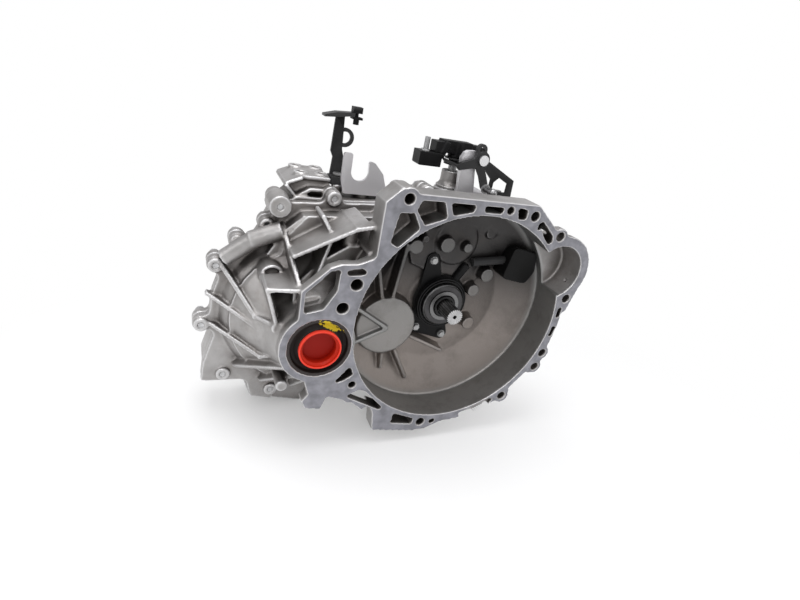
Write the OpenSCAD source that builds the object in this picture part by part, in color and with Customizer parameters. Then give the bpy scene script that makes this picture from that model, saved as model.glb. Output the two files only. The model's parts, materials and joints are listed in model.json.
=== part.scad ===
// Transverse manual transaxle: six forward speeds and reverse, with its differential.
// Origin: the input-shaft axis on the bell-housing face. The bell mouth faces -Y, the
// case runs along +Y, +X is to the right seen from the mouth, +Z is up. Millimetres.

/* [Bell housing] */
// Radius of the bell mouth
mouth_r = 161; // [158:0.5:163]
// Outer radius of the flange ring
rim_r = 177; // [176:0.5:180]
// Depth of the thick flange rim
flange_t = 16; // [12:1:20]
// Depth of the deep pockets in the flange
pocket_depth = 30; // [20:1:34]
// Radius of the starter nose bore
starter_r = 41; // [38:0.5:42]

/* [Case] */
// Distance from the bell face to the joint between the two main castings
split_y = 120; // [119:0.5:121]
// Distance from the bell face to the end wall of the gear case
end_y = 340; // [340:0.5:342]
// Wall thickness of the gear case
wall = 7; // [6:0.5:9]
// Radius of the bolt circle around the differential
diff_bolt_r = 141; // [138:0.5:142]

/* [Gears] */
// Module of the speed gears
gear_m = 2.5; // [2.49:0.005:2.51]
// Module of the final drive
final_m = 3; // [2.99:0.005:3.01]
// Play between the teeth, measured at the pitch circle
backlash = 0.3; // [0.2:0.05:0.6]

/* [Controls] */
// Height of the top of the shift tower
tower_top = 189; // [186:0.5:189.5]
// Radius of the shift shaft
shift_r = 6.5; // [6:0.1:7]
// Radius of the release bearing
release_r = 33.6; // [31:0.1:35]

/* [Hidden] */
$fn = 96;
pressure_angle = 25;
fit_gap = 0.05;
// Distance from the input axis to the differential axis, across and down
diff_c = [-204, -31.5];
input_c = [0, 0];
// Teeth: drive and driven gears of the six speeds, then the reverse train
teeth_in = [17, 26, 33, 39, 44, 48];
teeth_out = [60, 51, 44, 38, 33, 29];
rev_teeth = [13, 24, 48];
pinion_teeth = 15;
ring_teeth = 61;
speed_y = [[134, 152], [178, 194], [196, 210], [236, 250], [252, 266], [292, 306]];
rev_y = [326, 339.5];
final_y = [97, 131];
// The shaft centres come from the tooth counts
centre_d = gear_m * (teeth_in[0] + teeth_out[0]) / 2;
final_d = final_m * (pinion_teeth + ring_teeth) / 2;
function apex(a, b, ra, rb, side) =
    let (d = norm(b - a), along = (ra * ra - rb * rb + d * d) / (2 * d),
         off = sqrt(ra * ra - along * along), u = (b - a) / d)
    a + along * u + side * off * [-u[1], u[0]];
output_c = apex(input_c, diff_c, centre_d, final_d, 1);
idler_c = apex(input_c, output_c, gear_m * (rev_teeth[0] + rev_teeth[1]) / 2,
               gear_m * (rev_teeth[1] + rev_teeth[2]) / 2, -1);
rail_c = output_c + 95 * [cos(110), sin(110)];
function bearing_of(a, b) = atan2(b[1] - a[1], b[0] - a[0]);
// Angle that puts gear B in mesh with gear A, whose own angle is phase_a
function mesh_phase(phase_a, a, b, za, zb) =
    let (line = bearing_of(a, b)) line + 180 - (phase_a - line) * za / zb - 180 / zb;

// Castings and finishes
cast = [0.79, 0.78, 0.76];
steel = [0.62, 0.63, 0.66];
dark_steel = [0.3, 0.3, 0.32];
black = [0.06, 0.06, 0.065];
bronze = [0.72, 0.55, 0.3];
red = [0.85, 0.11, 0.06];
zinc = [0.74, 0.75, 0.77];

// Flange bolts: x, z, hole radius, lug radius, hole depth
flange_bolts = [
    [-118, 174, 6.5, 14, 40], [29, 171, 5, 11, 38], [71, 166, 6.5, 13, 38], [125, 140, 6.5, 12, 24],
    [175, 42, 6.5, 12, 24], [166, -56, 6.5, 12, 24], [160, -82, 6.5, 12, 24], [112, -136, 6.5, 13, 24],
    [-28, -173, 6.5, 14, 44], [-151, -93, 5, 12, 43], [-167, 60, 7.5, 15, 46], [-181, 27, 7.5, 14, 49]
];
// Where the posts behind the corner lugs end
post_back = 52;
starter_c = [141, 85];
starter_depth = 44;
// Bell inside: depth of its straight wall, and of its floor at the middle
bell_wall_y = 58;
bell_floor_y = 84;
bell_end_r = 166;
chamber_y = 93;
seal_r = 42.4;
axle_cap_r = 28;
diff_bearing_r = 40;
diff_rear_r = 34;
input_bearing_r = 31;
output_bearing_r = 36;
rear_bearing_r = 31;
front_bearing_y = [86, 102];
output_front_y = [66, 86];
rear_bearing_y = [342, 358];
shaft_r = 20;
input_r = 15;
rail_r = 8;
shift_c = [7, 142];
sleeve_r = 44;
hub_r = 34;
groove_r = 39;
diff_front_y = [14, 34];
diff_rear_y = [138, 158];
bevel_y = 76;
side_teeth = 16;
spider_teeth = 10;
bevel_m = 3.3;
split_lug_r = 11.5;
slave_screws = [[-26, 68], [-32.5, -44], [16, -58]];
pipe_a = [37, 70, 69];
pipe_b = [98, 67, 77];
cover_screws = [for (a = [140, 215, 290]) output_c + 43 * [cos(a), sin(a)],
                for (a = [100, 20, -60]) input_c + 43 * [cos(a), sin(a)]];
// Pads on the gear case: places of their threads, in X and Y
mount_pads = [[-219, 150], [-190, 150], [-219, 190], [-190, 190]];
mount_top = 162;
bracket_foot = [43, 140];
bracket_pad_z = 163;
cable_foot = [-128, 152];
cable_pad_z = 140;
plate_foot = [92, 132];
plate_pad_z = 160;
post_foot = [-168, 150];
post_pad_z = 150;
fill_at = [75, 230, 10];
drain_at = [output_c[0], 250, output_c[1] - 88];
pin_at = [28, 216];
select_y = [97, 103];
shoe_z = 198;
diff_lug_angles = [115.6, 133.4, 150.7, 188, 254];
split_bolts = concat(
    [for (a = diff_lug_angles) diff_c + diff_bolt_r * [cos(a), sin(a)]],
    [[-180, 139], [-78, 146], [-44, 160], [58, 146], [86, 112], [97, 34], [86, -48],
     [20, -92], [-52, -134], [-128, -143], [-313, -134]]
);

// ---------- helpers ----------
// Extrudes an outline drawn in X and Z from y0 to y1
module slab(y0, y1) {
    translate([0, y1, 0]) rotate([90, 0, 0]) linear_extrude(y1 - y0) children();
}

// A cylinder along Y about the point p = [x, z]
module rod(p, y0, y1, r, r2 = undef) {
    translate([p[0], y0, p[1]]) rotate([-90, 0, 0])
        cylinder(h = y1 - y0, r1 = r, r2 = is_undef(r2) ? r : r2);
}

// A ring along Y about the point p
module ring(p, y0, y1, outer, inner) {
    difference() {
        rod(p, y0, y1, outer);
        rod(p, y0 - 1, y1 + 1, inner);
    }
}

// Turns a profile of [radius, y] points about the Y line through p
module turned(p, points) {
    translate([p[0], 0, p[1]]) rotate([-90, 0, 0]) rotate_extrude() polygon(points);
}

// A round bar between two points in space
module bar(a, b, r) {
    d = b - a;
    length = norm(d);
    translate(a) rotate([0, acos(d[2] / length), atan2(d[1], d[0])]) cylinder(h = length, r = r);
}

// A straight rib of the given thickness between two [x, z] points, from y0 to y1
module rib(a, b, thickness, y0, y1) {
    d = b - a;
    slab(y0, y1) translate(a) rotate(atan2(d[1], d[0]))
        translate([0, -thickness / 2]) square([norm(d), thickness]);
}

// A rib standing out radially from p at one angle: profile of [radius, y] points
module fin(p, angle, thickness, points) {
    translate([p[0], 0, p[1]]) rotate([0, -angle, 0]) translate([0, 0, -thickness / 2])
        linear_extrude(thickness) polygon(points);
}

// A hexagon screw head with its shank along Y; head from y0 towards -Y or +Y
module screw(p, seat_y, dir, head_w, head_h, shank_r, shank_len) {
    y_head = dir < 0 ? seat_y - head_h : seat_y;
    y_shank = dir < 0 ? seat_y : seat_y - shank_len;
    translate([p[0], y_head, p[1]]) rotate([-90, 0, 0]) cylinder(h = head_h, r = head_w / 2, $fn = 6);
    rod(p, dir < 0 ? seat_y - 1.5 : seat_y, dir < 0 ? seat_y : seat_y + 1.5, head_w * 0.6);
    rod(p, y_shank, y_shank + shank_len, shank_r);
}

// Involute function, in degrees
function inv(a) = tan(a) * 180 / PI - a;

// Half the angle that a tooth spans at radius r
function tooth_half(z, m, r, play) =
    let (pitch = m * z / 2, base = pitch * cos(pressure_angle))
    90 / z - play / (4 * pitch) * 180 / PI + inv(pressure_angle)
        - inv(acos(min(1, base / r)));

function polar(r, a) = r * [cos(a), sin(a)];

// Outline of an involute spur gear, with a tooth centred on the X axis
function gear_points(z, m, play = backlash, add = 0.8, ded = 1) =
    let (root = m * z / 2 - ded * m, tip = m * z / 2 + add * m,
         foot = max(root, m * z / 2 * cos(pressure_angle)), steps = 3,
         radii = [for (i = [0:steps]) foot + (tip - foot) * i / steps])
    [for (t = [0:z - 1]) let (mid = t * 360 / z) each concat(
        root < foot - 0.01 ? [polar(root, mid - tooth_half(z, m, foot, play))] : [],
        [for (r = radii) polar(r, mid - tooth_half(z, m, r, play))],
        [for (i = [steps:-1:0]) polar(radii[i], mid + tooth_half(z, m, radii[i], play))],
        root < foot - 0.01 ? [polar(root, mid + tooth_half(z, m, foot, play))] : [])];

// Outline of a ring of n square teeth between two radii
function spline_points(n, inner, outer, fill) =
    [for (t = [0:n - 1]) let (mid = t * 360 / n, half = 90 / n * fill) each [
        polar(inner, mid - half), polar(outer, mid - half),
        polar(outer, mid + half), polar(inner, mid + half)]];

module gear(p, z, m, phase, y0, y1) {
    slab(y0, y1) translate(p) rotate(phase) polygon(gear_points(z, m));
}

// ---------- outlines ----------
// Shape of the bell flange
module flange_outline() {
    offset(r = -7, $fn = 32) offset(r = 7, $fn = 32) {
        circle(r = rim_r);
        for (b = flange_bolts) translate([b[0], b[1]]) circle(r = b[3]);
        translate(starter_c) circle(r = starter_r + 15.5);
        translate(diff_c) circle(r = 53);
        polygon([[-148, 84], [-148, 168], [-128, 187], [-102, 181.5], [74, 181.5], [114, 150], [40, 60]]);
        polygon([[20, -150], [8, -176], [-19, -188], [-40, -189], [-108, -179], [-112, -147], [-140, -80]]);
        polygon([[-100, -110], [-130, -139], [-150, -122], [-186, -110], [-205, -70], [-130, -40]]);
        polygon([[-140, 100], [-168, 88], [-190, 87], [-203, 82], [-236, 50], [-236, 12], [-200, -20], [-140, 10]]);
        polygon([[120, 150], [178, 128], [196, 80], [182, 20], [150, 40], [110, 110]]);
        translate([-150, -110]) circle(r = 14);
    }
}

// Pockets cast into the flange face
pockets = [
    [[-127, 156], [-108, 157], [-97, 138], [-122, 112], [-132, 118]],
    [[-101, 173], [-70, 174], [-62, 154], [-91, 143], [-105, 161]],
    [[-61, 174], [-25, 174], [-26, 165], [-54, 158]],
    [[-11, 174], [18, 174], [17, 166], [-10, 166]],
    [[40, 175], [56, 174], [57, 161], [45, 160]],
    [[87, 160], [111, 140], [113, 131], [107, 128], [97, 137], [88, 150], [80, 146], [80, 155]],
    [[167, 26], [174, 26], [174, 9], [168, 9]],
    [[168, -6], [175, -8], [171, -28], [166, -23]],
    [[146, -91], [154, -98], [130, -128], [121, -123]],
    [[-77, -151], [-42, -165], [-43, -175], [-79, -169]],
    [[-14, -171], [-4, -169], [-3, -176], [-10, -179]],
    [[-139, -103], [-129, -107], [-98, -138], [-103, -141], [-158, -112]],
    [[-158, -62], [-152, -76], [-165, -85], [-182, -90], [-172, -80]],
    [[-230, 47], [-202, 77], [-190, 80], [-192, 50], [-206, 26], [-230, 20]],
    [[-182, 79], [-163, 82], [-156, 78], [-158, 74], [-180, 72]]
];

// Inside shape of the gear chamber behind the joint, without the differential
module chamber_core() {
    translate(output_c) circle(r = 82);
    circle(r = 68);
    translate(idler_c) circle(r = 37);
    translate(rail_c) circle(r = 21);
    polygon([output_c, rail_c + [-18, 10], [-100, 92], [-12, 98], [40, 50], [30, -40]]);
}

module chamber_full() {
    chamber_core();
    translate(diff_c) circle(r = 99);
    polygon([diff_c + [-40, 88], [-232, 92], [-215, 112], [-116, 118], [-20, 134], [22, 134], [40, 50], output_c]);
}

// Outer shape of the two castings where they meet
module split_outline() {
    offset(r = -9, $fn = 32) offset(r = 9, $fn = 32) {
        offset(r = 13, $fn = 32) chamber_full();
        translate(diff_c) circle(r = 129);
        for (b = split_bolts) translate(b) circle(r = split_lug_r);
        polygon([[-265, 90], [-252, 128], [-116, 136], [-30, 152], [36, 152], [70, 110], [60, 0], [-200, 0]]);
        polygon([[-324, -60], [-340, -116], [-343, -147], [-280, -149], [-272, -180], [-240, -188], [-200, -60]]);
    }
}

// ---------- castings ----------
module bell_solid() {
    intersection() {
        slab(0, flange_t + 24) flange_outline();
        union() {
            slab(0, flange_t) flange_outline();
            rod(input_c, 0, flange_t + 8, rim_r + 1);
            slab(0, flange_t + 22) polygon([[-148, 84], [-148, 192], [76, 192], [114, 150], [90, 110]]);
            slab(0, flange_t + 12) polygon([[-120, -130], [-112, -190], [20, -190], [110, -150]]);
        }
    }
    turned(input_c, [[0, 0], [168, 0], [173, 62], [112, chamber_y + 1], [0, chamber_y + 1]]);
    rod(starter_c, 0, starter_depth + 7, starter_r + 12, starter_r + 8);
    // Corner posts that run back from the lugs
    for (b = [flange_bolts[0], flange_bolts[10], flange_bolts[11], flange_bolts[9], flange_bolts[8]])
        rod([b[0], b[1]], 0, post_back, b[3] - 1, b[3] - 3);
}

module cone_solid() {
    turned(diff_c, [[0, 0], [53, 0], [53, 14], [66, 40], [92, 72], [112, 96], [121, 112],
        [121, split_y], [0, split_y]]);
    slab(chamber_y - 10, split_y) offset(r = wall, $fn = 32) chamber_full();
    slab(split_y - 13, split_y) split_outline();
    // Upper body, from the flange corner back to the joint
    slab(50, split_y) polygon([[-232, 16], [-226, 44], [-200, 72], [-170, 92], [-140, 96], [-80, 90], [-150, 10]]);
    slab(86, split_y) polygon([[-266, 62], [-246, 96], [-222, 118], [-116, 124], [-60, 100], [-160, 20]]);
    for (b = split_bolts) rod(b, split_y - 19, split_y, split_lug_r - 1.5, split_lug_r);
}

// A wall between two [x, z] points whose front edge runs from depth ya to depth yb
module web(a, b, ya, yb, thickness, back = split_y - 2) {
    fin(a, bearing_of(a, b), thickness, [[0, ya], [norm(b - a), yb], [norm(b - a), back], [0, back]]);
}

// A run of walls through [x, z, front depth] points
module web_run(points, thickness, back = split_y - 2) {
    for (i = [0:len(points) - 2]) {
        a = points[i];
        b = points[i + 1];
        web([a[0], a[1]], [b[0], b[1]], a[2], b[2], thickness, back);
        rod([a[0], a[1]], a[2] + 1, back + 1, thickness / 2 + 0.7);
    }
}

module bell_ribs() {
    // Three long ribs of the differential cone
    web_run([[-259, -9, 20], [-280, -12, 50], [-324, 44, 104]], 6);
    web_run([[-256, -22, 36], [-273, -29, 45], [-339, -5, 108]], 5.5);
    web_run([[-252, -62, 34], [-271, -70, 44], [-341, -46, 108]], 5.5);
    for (a = [222, 244, 266, 288])
        fin(diff_c, a, 6, [[40, 10], [56, 12], [128, 96], [130, split_y - 2], [60, split_y - 2]]);
    // Tall rib up to the joint, box beside it, and the brace to the bell corner
    web_run([[-234, 46, 4], [-247, 102, 94]], 5.5);
    web_run([[-236, 48, 4], [-273, 45, 12], [-258, -6, 18]], 5);
    web_run([[-240, 80, 36], [-168, 124, 22], [-150, 130, 16]], 5, 100);
    web_run([[-203, 126, 58], [-192, 106, 44], [-212, 44, 34]], 5, 100);
    web_run([[-150, 96, 14], [-116, 128, 60]], 6);
    web_run([[-236, 60, 34], [-236, 20, 30]], 5, 90);
    // Rounded shoulder below the joint lugs
    bar([-248, 90, 96], [-287, 92.3, 78.8], 12);
    bar([-281, 91.5, 82.5], [-318, 100, 50], 11.2);
    // Ring-shaped boss on the recess
    rod([-261, 42], 60, 100, 16);
    // Upright boss and the two round stops beside it
    bar([-165, 62, 62], [-165, 62, 117], 10);
    rod([-256, -11], 18, 60, 8);
    rod([-244, -101], 18, 70, 8);
    // Raised boss at the top of the joint
    rod([-253, 127], split_y - 34, split_y, 14, 16);
    // Foot at the lower left of the differential boss
    slab(0, 20) polygon([[-220, -80], [-187, -80], [-190, -110], [-184, -108], [-192, -131], [-214, -127],
                         [-220, -115], [-212, -104]]);
}

// What stands inside the bell
module bell_inside() {
    // Boss over the front bearing of the output shaft
    rod(output_c, bell_wall_y, bell_floor_y + 2, 46.5, 48);
    // Boss over the top cover and the reverse gear region
    rod([5, 98], 74, bell_floor_y + 2, 35, 37);
    slab(77, bell_floor_y + 2) polygon([[-60, 60], [-72, 90], [-55, 112], [20, 120], [80, 122],
        [84, 60], [40, 20]]);
    // Small round bosses: x, z, front face, radius
    for (s = [[-65, 92, 60, 10.5], [-16, 97, 60, 11.5], [-52, 104, 62, 5], [19, 94, 60, 7.5],
              [59, 116, 70, 8.5], [65, 51, 60, 11], [47, 25, 60, 10], [55, -34, 62, 10.5]])
        rod([s[0], s[1]], s[2], bell_floor_y + 2, s[3], s[3] + 1);
    // Webs from the output boss to the bell wall and floor: end point and thickness
    for (w = [[-36, -134], [18, -84], [-84, -112], [-116, 62], [-78, 96]])
        rib(output_c, [w[0], w[1]], 6, 61, bell_floor_y + 2);
    for (w = [[-150, -62], [-152, 6]])
        rib(output_c, [w[0], w[1]], 6, 50, bell_floor_y + 2);
    // Bulge over the differential bearing
    intersection() {
        turned(diff_c, [[0, 8], [51, 8], [53, bell_floor_y], [0, bell_floor_y]]);
        rod(input_c, 8, bell_floor_y, bell_end_r + 1);
    }
    // Seat of the clutch slave cylinder
    rod(input_c, bell_floor_y - 1, chamber_y + 1, 50);
}

module clutch_housing() {
    color(cast) difference() {
        union() {
            difference() {
                union() {
                    bell_solid();
                    cone_solid();
                    bell_ribs();
                }
                turned(input_c, [[0, -1], [mouth_r, -1], [mouth_r, 0], [bell_end_r, bell_wall_y],
                                 [104, bell_floor_y], [0, bell_floor_y]]);
                rod(starter_c, -1, starter_depth, starter_r);
                for (p = pockets) slab(-1, pocket_depth) offset(r = 2.5, $fn = 24) offset(delta = -2.5) polygon(p);
                slab(-1, 8) polygon([[38, -164], [88, -140], [97, -140], [90, -152], [60, -166], [42, -172]]);
            }
            bell_inside();
        }
        for (b = flange_bolts) {
            rod([b[0], b[1]], -1, b[4], b[2]);
            rod([b[0], b[1]], -1, 1.2, b[2] + 1.8, b[2]);
        }
        // Differential side: seal seat, bearing seat, room for the case and the ring gear
        rod(diff_c, -1, 12, seal_r);
        rod(diff_c, 11, 14, 36);
        rod(diff_c, diff_front_y[0], diff_front_y[1], diff_bearing_r);
        turned(diff_c, [[0, diff_front_y[1] - 0.5], [36, diff_front_y[1] - 0.5], [49.5, 44], [49.5, 84],
                        [73, 86], [73, chamber_y - 1], [99, chamber_y + 1], [99, split_y + 1], [0, split_y + 1]]);
        // Gear chamber
        slab(chamber_y, split_y + 1) chamber_full();
        // Output-shaft front bearing, input-shaft front bearing and bore
        rod(output_c, output_front_y[0] - 3, output_front_y[1], output_bearing_r);
        rod(output_c, output_front_y[1] - 1, chamber_y + 1, 32);
        rod(input_c, bell_floor_y - 3, chamber_y + 1, 24);
        rod(input_c, front_bearing_y[0], front_bearing_y[1] + 1, input_bearing_r);
        // Threads for the joint screws
        for (b = split_bolts) rod(b, 91, split_y + 1, 4);
        rod([-253, 127], split_y - 36, split_y + 1, 4);
        rod(rail_c, chamber_y - 9, chamber_y + 1, rail_r);
        // Room for the slave cylinder with its plate, union and screws
        rod(input_c, 60, 83, 43.4);
        slab(60, 83) offset(r = 10.4, $fn = 32) polygon(slave_screws);
        bar([18, 78, 36], [32, 76, 62], 7.4);
        for (s = slave_screws) rod(s, 76, 91, 3);
        rod([-261, 42], 59, 66, 12);
        // Small holes in the side of the starter nose
        for (a = [-28, -8]) translate([starter_c[0], 17, starter_c[1]]) rotate([0, 90 - a, 0])
            cylinder(h = 52, r = 2.2);
    }
    // Wall around the front bearing of the input shaft
    color(cast) ring(input_c, chamber_y, front_bearing_y[1], input_bearing_r + 6, input_bearing_r);
}

module gear_case() {
    color(cast) difference() {
        union() {
            slab(split_y, split_y + 13) split_outline();
            slab(split_y, 168) offset(r = wall, $fn = 32) chamber_full();
            slab(split_y, end_y + 4) offset(r = wall, $fn = 32) chamber_core();
            slab(end_y, 360) offset(r = wall - 3, $fn = 32) chamber_core();
            turned(diff_c, [[0, split_y], [123, split_y], [121, 138], [106, 158], [66, 172], [56, 176],
                            [54, 190], [0, 190]]);
            for (b = split_bolts) rod(b, split_y, split_y + 22, split_lug_r, split_lug_r - 3);
            // Upper body behind the joint
            slab(split_y, 196) polygon([[-262, 80], [-246, 118], [-228, 134], [-116, 134], [-40, 150], [34, 152],
                                        [72, 110], [60, 40], [-160, 30]]);
            gear_case_ribs();
            gear_case_bosses();
        }
        slab(split_y - 1, 137) chamber_full();
        slab(split_y - 1, end_y) chamber_core();
        turned(diff_c, [[0, split_y - 1], [99, split_y - 1], [99, 136], [70, 137.5], [0, 137.5]]);
        // Differential rear bearing, axle bore and seal seat
        rod(diff_c, diff_rear_y[0] - 2, diff_rear_y[1], diff_rear_r);
        rod(diff_c, 157, 179, 30);
        rod(diff_c, 178, 191, seal_r);
        // Rear bearings of both shafts
        rod(input_c, end_y - 1, 361, rear_bearing_r);
        rod(output_c, end_y - 1, 361, rear_bearing_r);
        rod(rail_c, end_y - 1, 352, rail_r);
        rod(idler_c, end_y - 1, 352, 9);
        // Shift shaft
        translate([shift_c[0], shift_c[1], 60]) cylinder(h = 120, r = 12);
        translate([shift_c[0] - 12, shift_c[1] - 12, 60]) cube([24, 24, 90]);
        // Clearance holes of the joint screws, thread of the mounting pads
        for (b = split_bolts) rod(b, split_y - 1, split_y + 30, 4.25);
        for (b = split_bolts) rod(b, split_y + 22, split_y + 60, split_lug_r - 1.5);
        rod([-253, 127], split_y - 1, split_y + 60, 4.25);
        for (m = mount_pads) translate([m[0], m[1], mount_top - 20]) cylinder(h = 40, r = 5);
        for (s = cover_screws) rod(s, 350, 361, 3);
        translate([bracket_foot[0], bracket_foot[1], 150]) cylinder(h = 20, r = 3);
        translate([cable_foot[0], cable_foot[1], 125]) cylinder(h = 20, r = 3);
        translate([plate_foot[0], plate_foot[1], 150]) cylinder(h = 20, r = 3);
        translate([post_foot[0], post_foot[1], 140]) cylinder(h = 20, r = 3);
        // Oil holes
        translate(fill_at) rotate([0, -90, 0]) cylinder(h = 40, r = 9, center = true);
        translate(drain_at) cylinder(h = 40, r = 9, center = true);
    }
}

module gear_case_ribs() {
    // Fans of ribs around the differential cover and along the gearbox body
    for (a = [152, 174, 196, 218, 240, 262])
        fin(diff_c, a, 6, [[40, 130], [136, 130], [124, 150], [62, 184], [40, 184]]);
    for (a = [176, 204, 232, 260, 288, 316])
        fin(output_c, a, 6, [[80, 132], [102, 132], [93, 330], [80, 338]]);
    for (a = [-58, -34, -10, 14, 38])
        fin(input_c, a, 6, [[60, 132], [86, 132], [79, 330], [60, 338]]);
    for (a = [86, 116, 146])
        fin(rail_c, a, 6, [[14, 190], [36, 190], [32, 330], [14, 338]]);
    for (y = [212, 276, 334]) slab(y, y + 6) offset(r = wall + 4, $fn = 32) chamber_core();
    // Web from the upper body down to the differential cover
    rib([-246, 118], [-300, 20], 7, split_y, 160);
}

module gear_case_bosses() {
    // Carrier of the gearbox mount: sloping decks on three cross walls
    rib([-214, 116], [-242, 147], 5, 124, 204);
    rib([-242, 147], [-219, 157], 5, 128, 204);
    rib([-219, 157], [-180, 157], 5, 134, 204);
    rib([-226, 132], [-208, 143], 5, 124, 204);
    rib([-208, 143], [-180, 143], 5, 124, 204);
    for (y = [138, 168, 198])
        slab(y, y + 5) polygon([[-214, 104], [-242, 147], [-219, 157], [-180, 157], [-180, 100]]);
    for (m = mount_pads) translate([m[0], m[1], 110]) cylinder(h = mount_top - 110, r = 10);
    // Base of the shift tower and pads of the brackets
    translate([shift_c[0], shift_c[1], 110]) cylinder(h = 53, r = 22);
    translate([bracket_foot[0], bracket_foot[1], 120]) cylinder(h = bracket_pad_z - 120, r = 12);
    translate([cable_foot[0], cable_foot[1], 110]) cylinder(h = cable_pad_z - 110, r = 12);
    translate([plate_foot[0] - 8, split_y, 96]) cube([16, 24, plate_pad_z - 96]);
    translate([post_foot[0], post_foot[1], 110]) cylinder(h = post_pad_z - 110, r = 10);
    // Bearing bosses on the end wall
    rod(output_c, end_y - 6, 360, 48);
    rod(input_c, end_y - 6, 360, 48);
    // Lower mount of the case
    difference() {
        slab(split_y, 176) polygon([[-322, -60], [-341, -124], [-339, -155], [-284, -152], [-272, -186],
                                    [-236, -196], [-190, -206], [-160, -160], [-130, -120], [-240, -60]]);
        slab(139, 190) polygon([[-318, -88], [-328, -140], [-286, -140], [-272, -160], [-270, -100]]);
    }
    // Oil plug bosses
    translate(fill_at) rotate([0, -90, 0]) cylinder(h = 22, r = 15, center = true);
    translate(drain_at) cylinder(h = 22, r = 15, center = true);
    rod([-253, 127], split_y, split_y + 26, 15, 12);
}

module rear_cover() {
    color(cast) difference() {
        union() {
            slab(360, 367) offset(r = -12, $fn = 32) offset(r = 12, $fn = 32) {
                translate(output_c) circle(r = 41);
                circle(r = 41);
                for (s = cover_screws) translate(s) circle(r = 9);
            }
            rod(output_c, 366, 372, 35, 33);
            rod(input_c, 366, 372, 35, 33);
            rib(output_c, input_c, 8, 366, 370);
        }
        rod(output_c, 359, 366, 29);
        rod(input_c, 359, 366, 29);
        for (s = cover_screws) rod(s, 359, 368, 3.25);
    }
}

module case_bolts() {
    color(zinc) {
        for (b = split_bolts) screw(b, split_y + 22, 1, 13, 7, 4, 40);
        screw([-253, 127], split_y + 26, 1, 13, 7, 4, 58);
    }
}

// ---------- gear train ----------
drive_phase = bearing_of(input_c, output_c);
function driven_phase(i) = mesh_phase(drive_phase, input_c, output_c, teeth_in[i], teeth_out[i]);
rev_phase = bearing_of(input_c, idler_c);
idler_phase = mesh_phase(rev_phase, input_c, idler_c, rev_teeth[0], rev_teeth[1]);
rev_out_phase = mesh_phase(idler_phase, idler_c, output_c, rev_teeth[1], rev_teeth[2]);
ring_phase = bearing_of(diff_c, output_c);
pinion_phase = mesh_phase(ring_phase, diff_c, output_c, ring_teeth, pinion_teeth);
// Middle of each synchroniser and the direction in which each driven gear meets it
hub_mid = [165, 223, 279];
rev_hub_y = [308, 318];
dog_len = 4.5;

module input_shaft() {
    color(steel) difference() {
        union() {
            slab(22, 60) polygon(spline_points(22, 11, 12.5, 1));
            rod(input_c, 22, front_bearing_y[0], 11.4);
            rod(input_c, 59, front_bearing_y[0], 13);
            rod(input_c, front_bearing_y[0], front_bearing_y[1], input_r);
            rod(input_c, front_bearing_y[1], rev_y[0] - 4, 17);
            rod(input_c, rev_y[0] - 5, rear_bearing_y[0], 12.8);
            rod(input_c, rear_bearing_y[0], rear_bearing_y[1], input_r);
            for (i = [0:3]) gear(input_c, teeth_in[i], gear_m, drive_phase, speed_y[i][0], speed_y[i][1]);
            gear(input_c, rev_teeth[0], gear_m, rev_phase, rev_y[0], rev_y[1]);
        }
        rod(input_c, 21, 34, 3);
    }
}

module drive_gear(i) {
    color(steel) difference() {
        gear(input_c, teeth_in[i], gear_m, drive_phase, speed_y[i][0], speed_y[i][1]);
        rod(input_c, speed_y[i][0] - 1, speed_y[i][1] + 1, 17);
        if (teeth_in[i] > 35) for (side = [-1, 1])
            ring(input_c, side < 0 ? speed_y[i][0] - 1 : speed_y[i][1] - 2.5,
                 side < 0 ? speed_y[i][0] + 2.5 : speed_y[i][1] + 1, gear_m * teeth_in[i] / 2 - 8, 25);
    }
}
module drive_gear_5() drive_gear(4);
module drive_gear_6() drive_gear(5);

module output_shaft() {
    color(steel) {
        rod(output_c, output_front_y[0], 88, 17);
        rod(output_c, 87, final_y[0], 19);
        gear(output_c, pinion_teeth, final_m, pinion_phase, final_y[0], final_y[1]);
        rod(output_c, final_y[1], rear_bearing_y[0] - 1, shaft_r);
        rod(output_c, rear_bearing_y[0] - 1.1, rear_bearing_y[1], input_r);
    }
}

// A driven gear with its dog ring: side -1 has the ring towards -Y
module driven_gear(i, side) {
    y = speed_y[i];
    color(steel) difference() {
        union() {
            gear(output_c, teeth_out[i], gear_m, driven_phase(i), y[0], y[1]);
            rod(output_c, side < 0 ? y[0] - dog_len : y[1] - 1, side < 0 ? y[0] + 1 : y[1] + dog_len, hub_r - 0.5);
        }
        rod(output_c, y[0] - 10, y[1] + 10, shaft_r + fit_gap);
        if (teeth_out[i] > 43)
            ring(output_c, side < 0 ? y[1] - 4 : y[0] - 1, side < 0 ? y[1] + 1 : y[0] + 4,
                 gear_m * teeth_out[i] / 2 - 8, 28);
    }
}
module driven_gear_1() driven_gear(0, 1);
module driven_gear_2() driven_gear(1, -1);
module driven_gear_3() driven_gear(2, 1);
module driven_gear_4() driven_gear(3, -1);
module driven_gear_5() driven_gear(4, 1);
module driven_gear_6() driven_gear(5, -1);

module reverse_gear() {
    color(steel) difference() {
        union() {
            gear(output_c, rev_teeth[2], gear_m, rev_out_phase, rev_y[0], rev_y[1]);
            rod(output_c, rev_y[0] - 6, rev_y[0] + 1, hub_r - 0.5);
        }
        rod(output_c, rev_y[0] - 10, rev_y[1] + 1, shaft_r + fit_gap);
    }
}

module reverse_idler() {
    color(steel) difference() {
        gear(idler_c, rev_teeth[1], gear_m, idler_phase, rev_y[0], rev_y[1]);
        rod(idler_c, rev_y[0] - 1, rev_y[1] + 1, 9 + fit_gap);
    }
}

module idler_shaft() {
    color(dark_steel) rod(idler_c, 321, 352, 9);
}

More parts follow.
